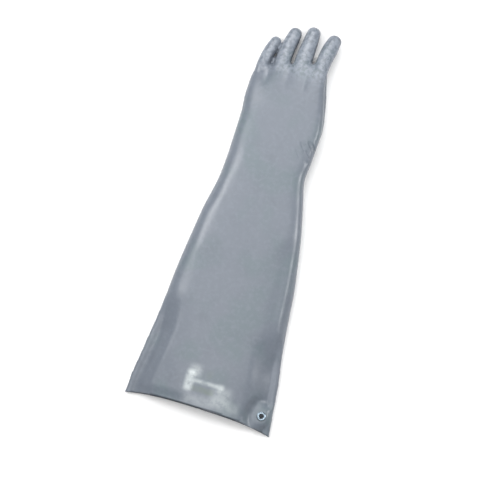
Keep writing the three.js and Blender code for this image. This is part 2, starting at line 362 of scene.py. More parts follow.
def smooth_value(stations: Sequence[BodyStation | DigitStation], column: str, y: float) -> float:
    """Reads one column of a table on a smooth curve through its stations.

    Args:
        stations: The table, y rising.
        column: The column's name.
        y: Where to read it.

    Returns:
        The value there.
    """
    last = len(stations) - 1
    after = next((i for i, station in enumerate(stations) if station.y > y), last)
    first = min(max(after - 1, 0), last - 1)

    def slope(k: int) -> float:
        """Mean slope across a station's neighbours."""
        low, high = stations[max(k - 1, 0)], stations[min(k + 1, last)]
        return (getattr(high, column) - getattr(low, column)) / (high.y - low.y)

    a, b = stations[first], stations[first + 1]
    span = b.y - a.y
    t = (y - a.y) / span
    return (
        (2 * t**3 - 3 * t**2 + 1) * getattr(a, column)
        + (t**3 - 2 * t**2 + t) * span * slope(first)
        + (3 * t**2 - 2 * t**3) * getattr(b, column)
        + (t**3 - t**2) * span * slope(first + 1)
    )


def stops_along(stations: Sequence[BodyStation | DigitStation], step: float) -> list[float]:
    """Evenly spaced places along Y from a table's first station to its last.

    Args:
        stations: The table, y rising.
        step: The longest step.

    Returns:
        The places, both ends included.
    """
    first, last = stations[0].y, stations[-1].y
    count = math.ceil((last - first) / step)
    return [first + (last - first) * i / count for i in range(count + 1)]


@dataclass(frozen=True)
class TiePlace:
    """Where the eyelet goes through the upper wall, and the rubber that it stiffens."""

    x: float = 101.5
    y: float = -301.5
    pad_middle: float = 17.4
    pad_half: float = 1.3
    pad_radius: float = 10.5
    hole_radius: float = 4.6
    seat_rise: float = 0.75
    stiff_radius: float = 12.0
    limp_radius: float = 34.0

    def distance(self, x: float, y: float) -> float:
        """Distance of a point from the eyelet's upright axis."""
        return math.hypot(x - self.x, y - self.y)


PALE_INK_AND_PAINTED_HIGHLIGHT_BARS = [
    # x, y, half width, half height, softness, strength
    (-26.5, 1.0, 6.5, 16.5, 4.5, 0.68),
    (-20.5, 18.0, 8.5, 9.0, 7.0, 0.4),
    (-1.0, 2.5, 22.0, 2.8, 3.0, 0.5),
    (26.0, 1.0, 4.5, 5.0, 4.0, 0.55),
    (30.0, -12.0, 15.0, 13.0, 9.0, 0.34),
    # painted highlight, not ink: a pale band along the hem's middle where the raised hem is lit
    (16.0, -28.0, 46.0, 8.0, 8.0, 0.24),
]
CREASES = [
    # x, y, half length, half width, softness, strength
    (-4.0, 8.5, 9.0, 0.7, 1.6, 1.0),
    (2.0, 13.5, 7.5, 0.7, 1.6, 1.0),
    (-9.0, -3.5, 9.0, 0.6, 1.8, 0.7),
    (6.5, 0.5, 8.0, 0.7, 1.6, 0.9),
    (-3.0, -15.0, 8.0, 0.6, 1.8, 0.5),
]
DARK_BARS = [
    # x, y, half width, half height, softness, strength
    (-2.0, -10.0, 19.0, 4.8, 2.5, 0.95),
    (3.0, 17.0, 5.0, 6.0, 4.0, 0.45),
]


@dataclass(frozen=True)
class DippedNeoprene:
    """Chloroprene rubber from a dip tank: an even blue-grey skin, dull but smooth, with soft tone patches.

    The stamp near the hem is a pale worn ink block of plain bars; a pale band along the hem's middle, laid with
    them, is a painted highlight where the raised hem is lit. Each bump field holds a strength and a height in
    millimetres.
    """

    name: str = "dipped_neoprene"
    tone: str = "#6A717B"
    pale_tone: str = "#707781"
    deep_tone: str = "#636A74"
    cool_tone: str = "#637076"
    rubbed_tone: str = "#828993"
    # pale ink, also used for the painted highlight along the hem
    ink_and_painted_highlight: str = "#C6CDCE"
    dark_ink: str = "#677170"
    tone_share: float = 0.7
    roughness: Pair = (0.31, 0.38)
    ior: float = 1.52
    noise_roughness: float = 0.55
    patch_mm: float = 55.0
    deep_patch_mm: float = 33.0
    mottle_mm: float = 7.0
    grain_mm: float = 1.6  # the real grain is finer and would not show
    rubbed_mm: float = 5.5
    rubbed_range: Pair = (0.36, 0.62)
    peel_bump: Pair = (0.12, 0.5)
    grain_bump: Pair = (0.12, 0.15)
    grip_bump: Pair = (0.32, 0.5)
    crease_bump: Pair = (0.85, 1.1)
    grip_from: float = 228.0
    grip_full: float = 266.0
    stamp_middle: Pair = (0.0, -276.0)
    wear_mm: float = 9.0
    wear_range: Pair = (0.3, 0.6)
    wear_least: float = 0.5
    ink_upward: float = 0.2
    crease_middle: Pair = (54.0, 130.0)
    crease_turn: float = -52.0

    def build(self) -> Material:
        """Builds the material."""
        return new_material(self.name, self.finish)

    def finish(self, tree: Tree, place: Socket) -> dict[str, object]:
        """Colour under its two inks and a painted highlight along the hem, cloudy gloss and the fine relief.

        Args:
            tree: The material's nodes.
            place: Object coordinates.

        Returns:
            The shader's inputs.
        """
        colour = self.skin_colour(tree, place)
        # the pale pass lays the stamp's ink and the painted highlight along the hem
        for ink_and_painted_highlight, bars in ((self.dark_ink, DARK_BARS), (self.ink_and_painted_highlight, PALE_INK_AND_PAINTED_HIGHLIGHT_BARS)):
            cover = self.ink_and_painted_highlight_mask(tree, place, bars)
            inputs = {MIX_FACTOR: cover, MIX_FIRST: colour, MIX_SECOND: linear(ink_and_painted_highlight)}
            colour = add_node(tree, "ShaderNodeMix", COLOURS, inputs).outputs[MIX_COLOUR]
        cloud = add_node(tree, "ShaderNodeTexNoise", None, self.spread(place, self.patch_mm, 3.0)).outputs[0]
        ends = {"Value": cloud, "To Min": self.roughness[0], "To Max": self.roughness[1]}
        gloss = add_node(tree, "ShaderNodeMapRange", None, ends).outputs["Result"]
        normal = self.surface(tree, place)
        return {"Base Color": colour, "Roughness": gloss, "IOR": self.ior, "Normal": normal}

    def spread(self, place: Socket, size_mm: float, octaves: float) -> dict[str, object]:
        """Inputs of a noise whose patches are about size_mm across."""
        scale = 1 / (size_mm * MM)
        return {"Vector": place, "Scale": scale, "Detail": octaves, "Roughness": self.noise_roughness}

    def skin_colour(self, tree: Tree, place: Socket) -> Socket:
        """Blue-grey with broad cool and deep patches, a fine pale mottle and rubbed fingers.

        Args:
            tree: The material's nodes.
            place: Object coordinates.

        Returns:
            The colour.
        """
        colour: object = linear(self.tone)
        layers = [
            # patch size, octaves, tone, its share, noise where it starts and where it is full
            (self.patch_mm, 1.0, self.cool_tone, self.tone_share, 0.45, 0.70),
            (self.deep_patch_mm, 2.0, self.deep_tone, self.tone_share, 0.50, 0.80),
            (self.mottle_mm, 5.0, self.pale_tone, self.tone_share, 0.42, 0.72),
            (self.rubbed_mm, 2.0, self.rubbed_tone, self.grip_area(tree, place), *self.rubbed_range),
        ]
        for size_mm, octaves, tone, share, low, high in layers:
            spread = self.spread(place, size_mm, octaves)
            cloud = add_node(tree, "ShaderNodeTexNoise", None, spread).outputs[0]
            ends = {"Value": cloud, "From Min": low, "From Max": high, "To Max": share}
            amount = add_node(tree, "ShaderNodeMapRange", SMOOTH, ends).outputs["Result"]
            inputs = {MIX_FACTOR: amount, MIX_FIRST: colour, MIX_SECOND: linear(tone)}
            colour = add_node(tree, "ShaderNodeMix", COLOURS, inputs).outputs[MIX_COLOUR]
        return colour

    def grip_area(self, tree: Tree, place: Socket) -> Socket:
        """The rougher skin of the fingers.

        Args:
            tree: The material's nodes.
            place: Object coordinates.

        Returns:
            Its share, from 0 on the palm to 1 on the fingers.
        """
        along = add_node(tree, "ShaderNodeSeparateXYZ", None, {"Vector": place}).outputs["Y"]
        ends = {"Value": along, "From Min": self.grip_from * MM, "From Max": self.grip_full * MM}
        return add_node(tree, "ShaderNodeMapRange", SMOOTH, ends).outputs["Result"]

    def surface(self, tree: Tree, place: Socket) -> Socket:
        """Normal with the dip's soft orange peel, a fine grain, rough fingers and fine wrist creases.

        Args:
            tree: The material's nodes.
            place: Object coordinates.

        Returns:
            The normal.
        """
        grip = add_node(tree, "ShaderNodeMath", TIMES, {0: self.grip_area(tree, place), 1: self.grip_bump[0]})
        layers = [
            # patch size, octaves, strength, height in mm
            (self.mottle_mm, 2.0, *self.peel_bump),
            (self.grain_mm, 3.0, *self.grain_bump),
            (self.rubbed_mm, 3.0, grip.outputs[0], self.grip_bump[1]),
        ]
        below: dict[str, object] = {}
        for size_mm, octaves, strength, height_mm in layers:
            spread = self.spread(place, size_mm, octaves)
            cloud = add_node(tree, "ShaderNodeTexNoise", None, spread).outputs[0]
            inputs = {"Strength": strength, "Distance": height_mm * MM, "Height": cloud} | below
            below = {"Normal": add_node(tree, "ShaderNodeBump", None, inputs).outputs["Normal"]}
        creases = self.marks(tree, place, self.crease_middle, self.crease_turn, CREASES)
        strength, height_mm = self.crease_bump
        inputs = {"Strength": strength, "Distance": height_mm * MM, "Height": creases} | below
        return add_node(tree, "ShaderNodeBump", {"invert": True}, inputs).outputs["Normal"]

    def ink_and_painted_highlight_mask(self, tree: Tree, place: Socket, bars: Sequence[tuple[float, ...]]) -> Socket:
        """Where one worn ink lies, with the painted highlight along the hem among the pale bars: plain bars on
        the top wall, broken by wear.

        Args:
            tree: The material's nodes.
            place: Object coordinates.
            bars: Middle, half width, half height, softness and strength of each bar, from the stamp's middle.

        Returns:
            The cover of the ink and of any painted highlight, from 0 to 1.
        """
        cover = self.marks(tree, place, self.stamp_middle, 0.0, bars)
        cloud = add_node(tree, "ShaderNodeTexNoise", None, self.spread(place, self.wear_mm, 3.0)).outputs[0]
        low, high = self.wear_range
        ends = {"Value": cloud, "From Min": low, "From Max": high, "To Min": self.wear_least}
        wear = add_node(tree, "ShaderNodeMapRange", SMOOTH, ends).outputs["Result"]
        facing = add_node(tree, "ShaderNodeNewGeometry").outputs["Normal"]
        rise = add_node(tree, "ShaderNodeSeparateXYZ", None, {"Vector": facing}).outputs["Z"]
        above = {"operation": "GREATER_THAN"}
        upward = add_node(tree, "ShaderNodeMath", above, {0: rise, 1: self.ink_upward}).outputs[0]
        worn = add_node(tree, "ShaderNodeMath", TIMES, {0: cover, 1: wear}).outputs[0]
        return add_node(tree, "ShaderNodeMath", TIMES | {"use_clamp": True}, {0: worn, 1: upward}).outputs[0]

    def marks(
        self, tree: Tree, place: Socket, middle: Pair, turn: float, bars: Sequence[tuple[float, ...]]
    ) -> Socket:
        """Adds up plain bars, of ink, of a painted highlight or of creases, laid out from above in axes of
        their own.

        Args:
            tree: The material's nodes.
            place: Object coordinates.
            middle: Where the bars' own axes start.
            turn: Turn of those axes, in degrees.
            bars: Middle, half width, half height, softness and strength of each bar.

        Returns:
            The sum, 0 away from the bars.
        """
        inputs = {
            "Vector": place,
            "Location": (Vector((*middle, 0)) + FRAME_SHIFT) * MM,
            "Rotation": (0.0, 0.0, math.radians(turn)),
            "Scale": (MM, MM, MM),
        }
        local = add_node(tree, "ShaderNodeMapping", {"vector_type": "TEXTURE"}, inputs).outputs["Vector"]
        split = add_node(tree, "ShaderNodeSeparateXYZ", None, {"Vector": local})
        total: object = 0.0
        for x, y, wide, high, soft, strength in bars:
            one = self.bar(tree, split, (x, wide), (y, high), soft)
            inputs = {0: one, 1: strength, 2: total}
            total = add_node(tree, "ShaderNodeMath", {"operation": "MULTIPLY_ADD"}, inputs).outputs[0]
        return total

    def bar(self, tree: Tree, split: bpy.types.Node, along: Pair, up: Pair, soft: float) -> Socket:
        """A plain bar with soft edges.

        Args:
            tree: The material's nodes.
            split: The bars' own coordinates, separated.
            along: Middle and half width.
            up: Middle and half height.
            soft: Half the width of its faded edge.

        Returns:
            1 inside and 0 outside.
        """
        sides = []
        for axis, (middle, half) in (("X", along), ("Y", up)):
            apart = {"operation": "SUBTRACT"}
            away = add_node(tree, "ShaderNodeMath", apart, {0: split.outputs[axis], 1: middle}).outputs[0]
            size = add_node(tree, "ShaderNodeMath", {"operation": "ABSOLUTE"}, {0: away}).outputs[0]
            ends = {"From Min": half - soft, "From Max": half + soft, "To Min": 1.0, "To Max": 0.0}
            sides.append(add_node(tree, "ShaderNodeMapRange", SMOOTH, {"Value": size} | ends).outputs["Result"])
        return add_node(tree, "ShaderNodeMath", TIMES, dict(enumerate(sides))).outputs[0]


@dataclass(frozen=True)
class NickelPlate:
    """Nickel-plated brass, pressed and dulled by handling: a pale cool metal with a cloudy shine."""

    name: str = "nickel_plate"
    tone: str = "#93A1AC"
    dull_tone: str = "#75848F"
    cloud_mm: float = 2.5
    cloud_octaves: float = 4.0
    roughness: Pair = (0.24, 0.48)

    def build(self) -> Material:
        """Builds the material."""
        return new_material(self.name, self.finish)

    def finish(self, tree: Tree, place: Socket) -> dict[str, object]:
        """Two metal tones and a gloss that follow one cloudy noise.

        Args:
            tree: The material's nodes.
            place: Object coordinates.

        Returns:
            The shader's inputs.
        """
        spread = {"Vector": place, "Scale": 1 / (self.cloud_mm * MM), "Detail": self.cloud_octaves}
        cloud = add_node(tree, "ShaderNodeTexNoise", None, spread).outputs[0]
        inputs = {MIX_FACTOR: cloud, MIX_FIRST: linear(self.tone), MIX_SECOND: linear(self.dull_tone)}
        tone = add_node(tree, "ShaderNodeMix", COLOURS, inputs).outputs[MIX_COLOUR]
        ends = {"Value": cloud, "To Min": self.roughness[0], "To Max": self.roughness[1]}
        gloss = add_node(tree, "ShaderNodeMapRange", None, ends).outputs["Result"]
        return {"Base Color": tone, "Metallic": 1.0, "Roughness": gloss}


@dataclass(frozen=True)
class PaleFloor:
    """Matte white studio board."""

    name: str = "white_board"
    tone: str = "#FBFBFB"
    roughness: float = 0.9
    ior: float = 1.3

    def build(self) -> Material:
        """Builds the material."""
        inputs = {"Base Color": linear(self.tone), "Roughness": self.roughness, "IOR": self.ior}
        return new_material(self.name, lambda tree, place: inputs)


@dataclass
class GloveSkin:
    """The one-piece rubber wall: sleeve, palm, four fingers and thumb, open at the hem.

    A pair holds the little-finger and thumb sides, or where something starts and where it is full.
    """

    rubber: Material
    tie: TiePlace
    wall: float = 1.4
    underside_power: float = 4.0
    wrist_fullness: float = 1.3
    wrist_range: Edges = (-50, 10, 160, 200)
    seat_turn: Pair = (0.05, 0.45)
    body_step: float = 7.0
    body_sides: int = 96
    end_stations: int = 3
    digit_step: float = 3.0
    digit_sides: int = 40
    digit_flatness: float = 0.76
    digit_squareness: float = 0.62
    tip_degrees: Sequence[float] = (12, 24, 36, 48, 60, 70, 79)
    flares: dict[str, Pair] = field(
        default_factory=lambda: {
            "little": (0, 6.4),
            "ring": (6.4, 5.0),
            "middle": (2.0, 2.6),
            "index": (0.6, 0),
        }
    )
    flare_share: Sequence[Pair] = ((246, 2.0), (258, 1.5), (268, 1.0), (284, 0.6))
    flare_low: Pair = (0.6, 0.92)
    flare_side: Pair = (0.0, 0.3)
    voxel: float = 3.0
    magnify_from: float = 190.0
    magnify_full: float = 262.0
    magnify_by: float = 2.05
    newton_rounds: int = 6
    relax_factor: float = 0.5
    relax_rounds: int = 3
    web_rounds: int = 12
    finger_webs: Pair = (226.0, 276.0)
    thumb_web: Pair = (186.0, 216.0)
    thumb_web_from: float = 20.0
    thumb_web_top: float = 30.0
    hem_y: float = -314.0
    hem_slant: float = -0.03
    hem_droop: float = 9.5
    hem_half: float = 123.5
    hem_underlap: float = 4.6
    cut_tolerance: float = 0.01
    hem_merge: float = 0.7
    upper_from: float = 10.0
    rest_height: float = 1.5
    facing_up: Pair = (0.0, 0.5)
    calm_range: Pair = (11.0, 26.0)
    cuff_end: float = -250.0
    slack_range: Pair = (-240.0, -40.0)
    channel_depths: Pair = (8.6, 7.6)
    channel_insets: Pair = (0.0, 2.0)
    channel_edge: tuple[float, float, float] = (0.0, 9.0, 12.0)
    channel_ends: Pair = (40.0, 52.0)
    channel_fades: Pair = (-140.0, -162.0)
    channel_fade_length: float = 75.0
    crease_range: Pair = (70.0, 175.0)
    crease_from: float = 20.0
    crease_scale: float = 1.5
    crease_fade: Edges = (-0.15, 0.2, 0.8, 1.15)
    crease_width: float = 2.3
    lip_height: float = 0.7
    lip_offset: float = 4.5
    lip_width: float = 2.8
    joints: Sequence[float] = (272.0, 276.0, 296.0, 299.5)
    joints_from: float = 250.0
    joint_depth: float = 0.3
    joint_width: float = 1.8
    joint_slant: float = 0.26
    joint_shift: float = -4.0
    dip_range: Edges = (210, 240, 244, 262)
    dip_width: float = 6.0
    pad_height: float = 0.4
    pad_edge: Pair = (9.0, 11.6)
    fan_folds: int = 7
    fan_phase: float = 0.8
    fan_height: float = 0.4
    fan_radius: float = 17.0
    fan_width: float = 6.0
    fan_above: Pair = (-0.3, 0.5)
    ring_depth: float = 0.5
    ring_radius: float = 14.5
    ring_width: float = 3.0
    curl_depth: float = 2.6
    curl_reach: float = 18.0
    curl_range: Edges = (-118, -95, -50, 5)

    def build(self) -> Piece:
        """Builds the glove's wall and dresses it.

        Returns:
            The finished piece.
        """
        form = self.form()
        for vert in form.verts:
            vert.co = self.magnified(vert.co)
        piece = finish_mesh(form, "glove_skin_form", self.rubber)
        union = piece.modifiers.new("union", "REMESH")
        union.mode = "VOXEL"
        union.voxel_size = self.voxel * MM
        apply_modifiers(piece)
        bm = bmesh.new()
        bm.from_mesh(piece.data)
        bpy.data.objects.remove(piece)
        bmesh.ops.scale(bm, verts=bm.verts, vec=Vector((1, 1, 1)) / MM)
        bmesh.ops.translate(bm, verts=bm.verts, vec=-FRAME_SHIFT)
        for vert in bm.verts:
            vert.co = self.shrunk_back(vert.co)
        self.soften(bm)
        self.cut_hem(bm)
        self.relief(bm)
        self.pierce(bm)
        glove = finish_mesh(bm, "glove_skin", self.rubber)
        wall = glove.modifiers.new("wall", "SOLIDIFY")
        wall.thickness = self.wall * MM
        wall.offset = -1
        wall.use_even_offset = False
        wall.use_rim = True
        apply_modifiers(glove)
        return glove

    def growth(self, y: float) -> float:
        """How much larger a section at y is while the fingers are magnified."""
        return 1 + (self.magnify_by - 1) * smoothstep(y, self.magnify_from, self.magnify_full)

    def stretched(self, y: float) -> float:
        """Place of a section while the fingers are magnified: the growth summed up to it.

        Args:
            y: The section's real place.

        Returns:
            Its place along the magnified glove.
        """
        span = self.magnify_full - self.magnify_from
        t = min(max((y - self.magnify_from) / span, 0.0), 1.0)
        return y + (self.magnify_by - 1) * (span * (t**3 - t**4 / 2) + max(y - self.magnify_full, 0.0))

    def magnified(self, at: Vector) -> Vector:
        """Moves a point to its magnified place, so that the fingers' narrow gaps outlast the union."""
        grown = self.growth(at.y)
        return Vector((at.x * grown, self.stretched(at.y), at.z * grown))

    def shrunk_back(self, at: Vector) -> Vector:
        """Undoes magnified, by Newton's method for y.

        Args:
            at: A point of the magnified glove.

        Returns:
            Its real place.
        """
        y = min(at.y, self.magnify_full)
        for _ in range(self.newton_rounds):
            y -= (self.stretched(y) - at.y) / self.growth(y)
        grown = self.growth(y)
        return Vector((at.x / grown, y, at.z / grown))

    def body_point(self, y: float, angle: float) -> Vector:
        """A point of a sleeve or palm section.

        Args:
            y: The section's place along the glove.
            angle: Angle round the section, from the thumb side up.

        Returns:
            The point.
        """
        columns = list(BodyStation.__annotations__)[1:]
        row = BodyStation(y, *(smooth_value(BODY, name, y) for name in columns))
        c, s = math.cos(angle), math.sin(angle)
        power = row.power if s >= 0 else self.underside_power
        if s >= 0 and c > 0:
            power += self.wrist_fullness * plateau(y, self.wrist_range)
        half = (row.right - row.left) / 2
        centre = (row.right + row.left) / 2
        x = centre + half * math.copysign(abs(c) ** (2 / power), c)
        rise = abs(s) ** (2 / power)
        lean = row.tilt * (x - centre)
        place_y = y + row.slant * (x - centre)
        if s < 0:
            return Vector((x, place_y, row.fold + (row.low - row.fold) * rise + lean))
        z = row.fold + (row.high - row.fold) * rise + lean
        limp = smoothstep(self.tie.distance(x, place_y), self.tie.stiff_radius, self.tie.limp_radius)
        level = (1 - limp) * smoothstep(s, *self.seat_turn)
        seat = self.tie.pad_middle + self.tie.seat_rise
        return Vector((x, place_y, z + level * (seat - z)))

    def form(self) -> Mesh:
        """Skins the sleeve, palm and digits as closed shapes that run into each other.

        Returns:
            The shapes, in one mesh.
        """
        bm = bmesh.new()
        stops = stops_along(BODY, self.body_step)
        stops += [station.y for station in BODY[-1 - self.end_stations:-1]]
        turns = [math.tau * k / self.body_sides for k in range(self.body_sides)]
        self.skin(bm, [[self.body_point(y, turn) for turn in turns] for y in sorted(stops)])
        for name, stations in DIGITS.items():
            self.skin(bm, self.digit_rings(stations, self.flares.get(name, (0, 0))))
        bmesh.ops.recalc_face_normals(bm, faces=bm.faces)
        return bm

    def digit_rings(self, stations: Sequence[DigitStation], flare: Pair) -> list[list[Vector]]:
        """Rings of a digit, square to its path, with its rounded tip.

        Args:
            stations: The digit's table.
            flare: How far its lower half spreads to the little and thumb sides.

        Returns:
            Rings of points from root to tip.
        """
        stops = stops_along(stations, self.digit_step)
        path = [Vector((smooth_value(stations, "x", y), y, smooth_value(stations, "z", y))) for y in stops]
        rings = []
        for i, centre in enumerate(path):
            ahead = (path[min(i + 1, len(path) - 1)] - path[max(i - 1, 0)]).normalized()
            wide, tall = (smooth_value(stations, name, stops[i]) for name in ("wide", "tall"))
            share = between(self.flare_share, stops[i])
            spread = (flare[0] * share, flare[1] * share)
            rings.append(self.digit_ring(centre, ahead, wide, tall, spread))
        end = stations[-1]
        for degrees in self.tip_degrees:
            angle = math.radians(degrees)
            small = math.cos(angle)
            centre = path[-1] + ahead * math.sin(angle) * end.wide
            tip_spread = (spread[0] * small, spread[1] * small)
            rings.append(self.digit_ring(centre, ahead, end.wide * small, end.tall * small, tip_spread))
        return rings

    def digit_ring(
        self, centre: Vector, ahead: Vector, wide: float, tall: float, flare: Pair
    ) -> list[Vector]:
        """Points of an ellipse square to a digit's path, with its lower half spread sideways.

        Args:
            centre: Middle of the ring.
            ahead: Direction of the path.
            wide: Half width.
            tall: Half height.
            flare: How far the lower half spreads to the little and thumb sides.

        Returns:
            The points.
        """
        side = ahead.cross(Vector((0, 0, 1))).normalized()
        up = side.cross(ahead)
        points = []
        for k in range(self.digit_sides):
            turn = math.tau * k / self.digit_sides
            across, rise = math.cos(turn), math.sin(turn)
            flatness = self.digit_flatness if rise > 0 else self.digit_squareness
            across = math.copysign(abs(across) ** flatness, across)
            rise = math.copysign(abs(rise) ** flatness, rise)
            spread = flare[1] if across > 0 else -flare[0]
            spread *= smoothstep(-rise, *self.flare_low) * smoothstep(abs(across), *self.flare_side)
            points.append(centre + side * (wide * across + spread) + up * tall * rise)
        return points

    def skin(self, bm: Mesh, rings: Sequence[Sequence[Vector]]) -> None:
        """Bridges rings into a closed shape.

        Args:
            bm: The mesh that takes the shape.
            rings: Rings of points, all of one length.
        """
        before: list[bmesh.types.BMEdge] = []
        for i, ring in enumerate(rings):
            capped = i in (0, len(rings) - 1)
            made = bmesh.ops.create_circle(bm, cap_ends=capped, segments=len(ring), radius=1.0)["verts"]
            for vert, point in zip(made, ring):
                vert.co = point
            edges = list(dict.fromkeys(edge for vert in made for edge in vert.link_edges))
            if before:
                bmesh.ops.bridge_loops(bm, edges=before + edges)
            before = edges

    def soften(self, bm: Mesh) -> None:
        """Relaxes the skin, most at the webs, and lays its underside flat.

        Args:
            bm: The glove's outer skin.
        """
        self.relax(bm, bm.verts, self.relax_rounds)
        self.relax(bm, [vert for vert in bm.verts if self.in_web(vert.co)], self.web_rounds)
        for vert in bm.verts:
            vert.co.z = max(vert.co.z, 0.0)

    def relax(self, bm: Mesh, verts: Sequence[bmesh.types.BMVert], rounds: int) -> None:
        """Evens out some of the skin's points.

        Args:
            bm: The glove's outer skin.
            verts: The points to move.
            rounds: How often each is moved towards its neighbours.
        """
        axes = {"use_axis_x": True, "use_axis_y": True, "use_axis_z": True}
        for _ in range(rounds):
            bmesh.ops.smooth_vert(bm, verts=verts, factor=self.relax_factor, **axes)

    def in_web(self, at: Vector) -> bool:
        """Whether a point is near the webs between the fingers or under the thumb.

        Args:
            at: A point of the skin.

        Returns:
            True near a web.
        """
        if self.finger_webs[0] < at.y < self.finger_webs[1]:
            return True
        in_reach = self.thumb_web[0] < at.y < self.thumb_web[1]
        return in_reach and at.x > self.thumb_web_from and at.z < self.thumb_web_top

    def hem_shift(self, x: float, z: float) -> float:
        """How far the hem line lies from its straight middle, out at the corners and under the lower wall.

        Args:
            x: Place across the glove.
            z: Height.

        Returns:
            The shift along Y.
        """
        droop = self.hem_droop * abs(x / self.hem_half) ** 3
        underlap = self.hem_underlap * (1 - z / BODY[0].high)
        return self.hem_slant * x - droop - underlap

    def cut_hem(self, bm: Mesh) -> None:
        """Cuts the sleeve open along the hem line and merges the points that crowd there.

        Args:
            bm: The glove's outer skin.
        """
        for vert in bm.verts:
            vert.co.y -= self.hem_shift(vert.co.x, vert.co.z)
        bmesh.ops.bisect_plane(
            bm,
            geom=bm.verts[:] + bm.edges[:] + bm.faces[:],
            dist=self.cut_tolerance,
            plane_co=Vector((0, self.hem_y, 0)),
            plane_no=Vector((0, -1, 0)),
            clear_outer=True,
        )
        for vert in bm.verts:
            vert.co.y += self.hem_shift(vert.co.x, vert.co.z)
        near_hem = [
            vert for vert in bm.verts if any(edge.other_vert(vert).is_boundary for edge in vert.link_edges)
        ]
        bmesh.ops.remove_doubles(bm, verts=near_hem, dist=self.hem_merge)

    def relief(self, bm: Mesh) -> None:
        """Raises and sinks the wall along its own normals, but not where it rests.

        Args:
            bm: The glove's outer skin.
        """
        bm.normal_update()
        free = [vert for vert in bm.verts if vert.co.z > self.rest_height]
        moves = [vert.normal * self.height(vert.co, vert.normal) for vert in free]
        for vert, move in zip(free, moves):
            vert.co += move

    def height(self, at: Vector, normal: Vector) -> float:
        """Height of the soft relief above the plain form.

        Args:
            at: A point of the skin.
            normal: The skin's normal there.

        Returns:
            The height, positive outwards.
        """
        top = smoothstep(normal.z, *self.facing_up)
        near_eyelet = self.tie.distance(at.x, at.y)
        calm = smoothstep(near_eyelet, *self.calm_range)
        total = self.sag(at) * calm
        if top > 0:
            total += top * (self.channels(at) * calm + self.ridge(at) + self.creases(at) + self.knuckles(at))
            if at.y < self.cuff_end:
                total += top * (self.pucker(at, near_eyelet) + self.hem_curl(at))
        return total

    def sag(self, at: Vector) -> float:
        """Slow unevenness of a limp sleeve.

        Args:
            at: A point of the skin.

        Returns:
            The height, positive outwards.
        """
        slack = smoothstep(-at.y, *self.slack_range)
        return slack * sum(
            height * noise.noise(Vector((at.x / wide, at.y / long, at.z / tall + shift)))
            for wide, long, tall, shift, height in SAG_WAVES
        )

    def channels(self, at: Vector) -> float:
        """Soft channels between the sleeve's flat edges and its raised middle.

        Args:
            at: A point of the skin.

        Returns:
            The height, positive outwards.
        """
        left, right = (smooth_value(BODY, name, at.y) for name in ("left", "right"))
        side = (Side.LITTLE if at.x < 0 else Side.THUMB).value
        inset = (at.x - left, right - at.x)[side] - self.channel_insets[side]
        fade = self.channel_fades[side]
        reach = 1 - smoothstep(at.y, fade - self.channel_fade_length, fade)
        across = plateau(inset, (*self.channel_edge, self.channel_ends[side]))
        return -self.channel_depths[side] * reach * across

    def ridge(self, at: Vector) -> float:
        """Long soft ridges inside the two sides of the forearm.

        Args:
            at: A point of the skin.

        Returns:
            The height, positive outwards.
        """
        return sum(
            height * plateau(at.y, ends) * bump(at.x - between(line, at.y) - shift, width)
            for height, shift, width, ends, line in FOREARM_RIDGES
        )

    def creases(self, at: Vector) -> float:
        """Slanting creases with soft lips, where the thumb folds under the wrist.

        Args:
            at: A point of the skin.

        Returns:
            The height, positive outwards.
        """
        total = 0.0
        if not (self.crease_range[0] < at.y < self.crease_range[1] and at.x > self.crease_from):
            return total
        for x0, y0, x1, y1, depth in WRIST_CREASES:
            along = Vector((x1 - x0, y1 - y0))
            length = along.length
            along /= length
            offset = Vector((at.x - x0, at.y - y0))
            fade = plateau(offset.dot(along) / length, self.crease_fade)
            across = along.x * offset.y - along.y * offset.x
            lip = self.lip_height * bump(across - self.lip_offset, self.lip_width)
            total += fade * self.crease_scale * depth * (lip - bump(across, self.crease_width))
        return total

    def knuckles(self, at: Vector) -> float:
        """Faint wrinkles over the finger joints and soft dips between the knuckles.

        Args:
            at: A point of the skin.

        Returns:
            The height, positive outwards.
        """
        total = 0.0
        if at.y > self.joints_from:
            shift = self.joint_slant * at.x + self.joint_shift
            for joint in self.joints:
                total -= self.joint_depth * bump(at.y - joint - shift, self.joint_width)
        reach = plateau(at.y, self.dip_range)
        if reach > 0:
            for web, depth in WEB_DIPS:
                total -= depth * reach * bump(at.x - web, self.dip_width)
        return total

    def pucker(self, at: Vector, distance: float) -> float:
        """Raised pad round the eyelet, the dip round it and the small puckers that fan out.

        Args:
            at: A point of the skin.
            distance: Its distance from the eyelet's axis.

        Returns:
            The height, positive outwards.
        """
        pad = self.pad_height * (1 - smoothstep(distance, *self.pad_edge))
        turn = math.atan2(at.y - self.tie.y, at.x - self.tie.x)
        folds = math.sin(self.fan_folds * turn + self.fan_phase)
        fan = folds * bump(distance - self.fan_radius, self.fan_width)
        ring = self.ring_depth * bump(distance - self.ring_radius, self.ring_width)
        above = smoothstep(math.sin(turn), *self.fan_above)
        return pad + above * (self.fan_height * fan - ring)

    def hem_curl(self, at: Vector) -> float:
        """Droop of the hem's edge on the little-finger side.

        Args:
            at: A point of the skin.

        Returns:
            The height, positive outwards.
        """
        from_hem = at.y - self.hem_y - self.hem_shift(at.x, at.z)
        near = 1 - smoothstep(from_hem, 0.0, self.curl_reach)
        return -self.curl_depth * near * plateau(at.x, self.curl_range)

    def pierce(self, bm: Mesh) -> None:
        """Opens the upper wall round the eyelet's barrel.

        Args:
            bm: The glove's outer skin.
        """
        radius = self.tie.hole_radius
        inside = []
        for face in bm.faces:
            middle = face.calc_center_median()
            if middle.z > self.upper_from and self.tie.distance(*middle.xy) < radius:
                inside.append(face)
        bmesh.ops.delete(bm, geom=inside, context="FACES")
        for vert in bm.verts:
            near = self.tie.distance(*vert.co.xy) < 2 * radius
            if vert.is_boundary and vert.co.z > self.upper_from and near:
                away = Vector((vert.co.x - self.tie.x, vert.co.y - self.tie.y)).normalized() * radius
                vert.co.x = self.tie.x + away.x
                vert.co.y = self.tie.y + away.y


